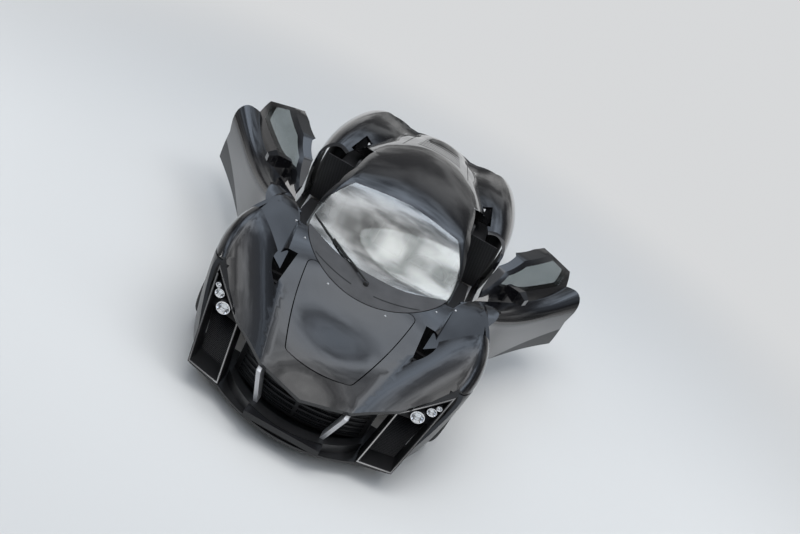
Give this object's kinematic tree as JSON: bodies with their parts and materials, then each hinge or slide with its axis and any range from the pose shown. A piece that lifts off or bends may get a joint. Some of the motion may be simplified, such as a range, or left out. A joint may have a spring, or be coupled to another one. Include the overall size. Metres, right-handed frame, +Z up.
{
  "type": "sports car",
  "caption": "Low mid-engined two-seat sports car with gloss black panels, open doors, slanted front intakes, round lamps and louvred engine cover.",
  "frame": {"origin": "on the ground under the middle of the car", "axes": "+Y runs from nose to tail, +X to the car's left side, +Z up"},
  "size_m": [3.4384, 4.634, 1.1003],
  "materials": {
    "gloss_black": "gloss paint",
    "satin_black": "satin",
    "cowl_grey": "matte",
    "carbon": "woven composite",
    "grille_metal": "dark anodised",
    "lamp_glass": "clear lens over chrome",
    "red_lens": "clear red",
    "glass": "tinted",
    "leather": "fine grain",
    "cast_metal": "as cast",
    "tyre": "rubber",
    "rim": "dark satin"
  },
  "bodies": {
    "car": {"tub": "carbon", "luggage_bay": "satin_black", "engine_block": "cast_metal", "front_clamshell": "gloss_black", "cowl_panel": "cowl_grey", "front_bumper": "satin_black", "grille": "grille_metal", "plate_strip": "satin_black", "front_corner_left": "satin_black", "front_corner_right": "satin_black", "intake_frame_left": "satin_black", "intake_frame_right": "satin_black", "headlamp_left": "lamp_glass", "headlamp_right": "lamp_glass", "windscreen": "glass", "roof_shell": "gloss_black", "rear_clamshell": "gloss_black", "side_skirt_left": "satin_black", "side_skirt_right": "satin_black", "rear_fascia": "satin_black", "tail_lamps": "red_lens", "diffuser": "satin_black", "exhaust": "grille_metal", "seats": "leather", "dashboard": "satin_black", "steering_wheel": "leather", "rear_uprights": "cast_metal", "suspension_links": "cast_metal"},
    "knuckle_left": {"knuckle_left": "cast_metal"},
    "front_wheel_left": {"front_tyre_left": "tyre", "front_rim_left": "rim"},
    "rear_wheel_left": {"rear_tyre_left": "tyre", "rear_rim_left": "rim"},
    "door_left": {"door_left": "gloss_black", "door_glass_left": "glass", "mirror_left": "gloss_black"},
    "knuckle_right": {"knuckle_right": "cast_metal"},
    "front_wheel_right": {"front_tyre_right": "tyre", "front_rim_right": "rim"},
    "rear_wheel_right": {"rear_tyre_right": "tyre", "rear_rim_right": "rim"},
    "door_right": {"door_right": "gloss_black", "door_glass_right": "glass", "mirror_right": "gloss_black"},
    "front_lid": {"front_lid": "gloss_black"},
    "engine_cover": {"engine_cover": "gloss_black"}
  },
  "joints": [
    {"name": "steer_left", "type": "hinge", "parent": "car", "child": "knuckle_left", "pos_m": [0.8, -1.335, 0.327], "axis": [0, 0, 1], "range_deg": [-30, 30]},
    {"name": "front_wheel_left_spin", "type": "hinge", "parent": "knuckle_left", "child": "front_wheel_left", "pos_m": [0.838, -1.335, 0.327], "axis": [1, 0, 0], "continuous": true},
    {"name": "rear_wheel_left_spin", "type": "hinge", "parent": "car", "child": "rear_wheel_left", "pos_m": [0.823, 1.31, 0.345], "axis": [1, 0, 0], "continuous": true},
    {"name": "door_left_swing", "type": "hinge", "parent": "car", "child": "door_left", "pos_m": [0.915, -0.852, 0.6], "axis": [0, 0, 1], "range_deg": [0, 33]},
    {"name": "steer_right", "type": "hinge", "parent": "car", "child": "knuckle_right", "pos_m": [-0.8, -1.335, 0.327], "axis": [0, 0, 1], "range_deg": [-30, 30]},
    {"name": "front_wheel_right_spin", "type": "hinge", "parent": "knuckle_right", "child": "front_wheel_right", "pos_m": [-0.838, -1.335, 0.327], "axis": [-1, 0, 0], "continuous": true},
    {"name": "rear_wheel_right_spin", "type": "hinge", "parent": "car", "child": "rear_wheel_right", "pos_m": [-0.823, 1.31, 0.345], "axis": [-1, 0, 0], "continuous": true},
    {"name": "door_right_swing", "type": "hinge", "parent": "car", "child": "door_right", "pos_m": [-0.915, -0.852, 0.6], "axis": [0, 0, -1], "range_deg": [0, 33]},
    {"name": "front_lid_lift", "type": "hinge", "parent": "car", "child": "front_lid", "pos_m": [0, -1.15, 0.69], "axis": [-1, 0, 0], "range_deg": [0, 50]},
    {"name": "engine_cover_lift", "type": "hinge", "parent": "car", "child": "engine_cover", "pos_m": [0, 1.1, 1.062], "axis": [1, 0, 0], "range_deg": [0, 45]}
  ],
  "couplings": [
    {"joint": "steer_right", "follows": "steer_left", "ratio": 1}
  ]
}
